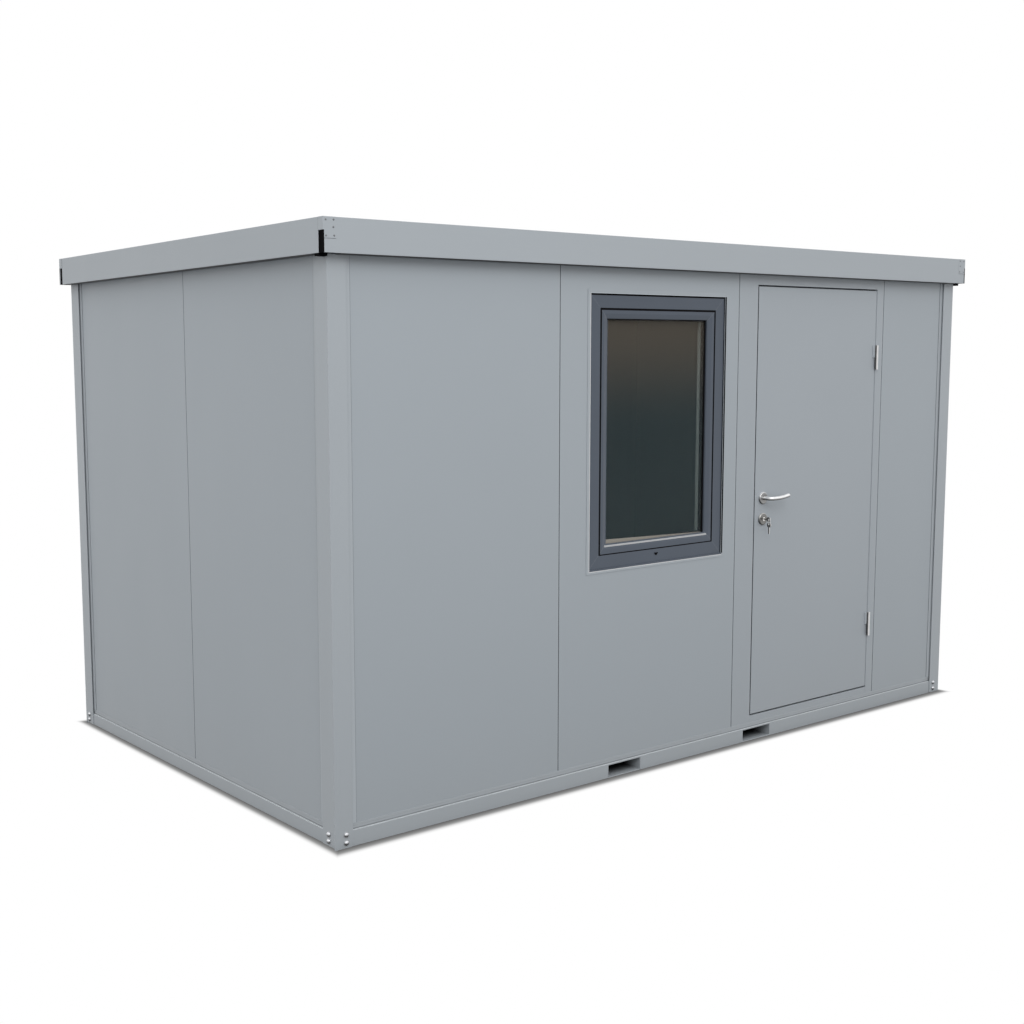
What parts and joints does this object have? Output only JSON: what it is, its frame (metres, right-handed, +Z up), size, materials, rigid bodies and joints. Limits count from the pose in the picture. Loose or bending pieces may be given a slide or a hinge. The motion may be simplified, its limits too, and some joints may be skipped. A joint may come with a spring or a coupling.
{
  "type": "office cabin",
  "caption": "Flat-roofed site office cabin of grey sandwich panels on a steel base frame, with a hinged flush door, a dark-framed window and pockets for forks.",
  "frame": {"origin": "on the ground under the middle of the cabin", "axes": "+X along the front wall to the right seen from outside, the front faces -Y, +Z up"},
  "size_m": [4.003, 2.3585, 2.3045],
  "materials": {
    "frame_paint": "satin light grey paint on folded steel",
    "wall_paint": "satin light grey coil coating, white lining inside",
    "door_paint": "satin light grey paint on sheet steel",
    "base_steel": "grey primed steel",
    "floor_core": "insulated floor panel with a plain underside",
    "floor_finish": "grey sheet vinyl on floor board",
    "hinge_steel": "zinc plated steel",
    "satin_steel": "satin stainless steel",
    "lock_metal": "nickel plated brass",
    "window_plastic": "anthracite plastic profile",
    "window_trim": "satin light grey folded strip",
    "inner_trim": "white plastic",
    "glass": "clear double glazing",
    "spacer": "dull spacer bar",
    "drain_plastic": "black plastic",
    "roof_sheet": "ribbed roof sheet, satin light grey"
  },
  "bodies": {
    "cabin": {"front_base_rail": "frame_paint", "right_base_rail": "frame_paint", "rear_base_rail": "frame_paint", "left_base_rail": "frame_paint", "front_left_post": "frame_paint", "front_right_post": "frame_paint", "rear_right_post": "frame_paint", "rear_left_post": "frame_paint", "front_fascia": "frame_paint", "right_fascia": "frame_paint", "rear_fascia": "frame_paint", "left_fascia": "frame_paint", "fascia_corner_brackets": "frame_paint", "front_plain_panel": "wall_paint", "front_window_panel": "wall_paint", "front_narrow_panel": "wall_paint", "rear_panel_1": "wall_paint", "rear_panel_2": "wall_paint", "rear_panel_3": "wall_paint", "rear_panel_4": "wall_paint", "left_rear_panel": "wall_paint", "left_front_panel": "wall_paint", "right_front_panel": "wall_paint", "right_rear_panel": "wall_paint", "door_lock_jamb": "door_paint", "door_hinge_jamb": "door_paint", "door_head": "door_paint", "door_threshold": "door_paint", "fork_pockets": "base_steel", "floor_joists": "base_steel", "floor_panel": "floor_core", "floor_board": "floor_finish", "door_frame_hinges": "hinge_steel", "window_frame": "window_plastic", "window_sash": "window_plastic", "window_trim": "window_trim", "window_inner_trim": "inner_trim", "window_handle": "inner_trim", "window_glass": "glass", "glazing_spacer": "spacer", "fascia_corner_drains": "drain_plastic", "roof_panel_1": "roof_sheet", "roof_panel_2": "roof_sheet", "roof_panel_3": "roof_sheet", "roof_panel_4": "roof_sheet"},
    "door": {"door_leaf": "door_paint", "door_leaf_hinges": "hinge_steel", "lever_roses": "satin_steel", "lock_roses": "satin_steel", "lock_cylinder": "lock_metal", "door_key": "lock_metal"},
    "lever": {"lever_handle": "satin_steel"}
  },
  "joints": [
    {"name": "door_swing", "type": "hinge", "parent": "cabin", "child": "door", "pos_m": [1.3095, -1.1308, 1.1255], "axis": [0, 0, 1], "range_deg": [0, 170]},
    {"name": "lever_turn", "type": "hinge", "parent": "door", "child": "lever", "pos_m": [0.461, -1.0995, 1.1505], "axis": [0, 1, 0], "range_deg": [0, 45], "stiffness_Nm_per_rad": 1.5, "springref_deg": -28.65}
  ]
}
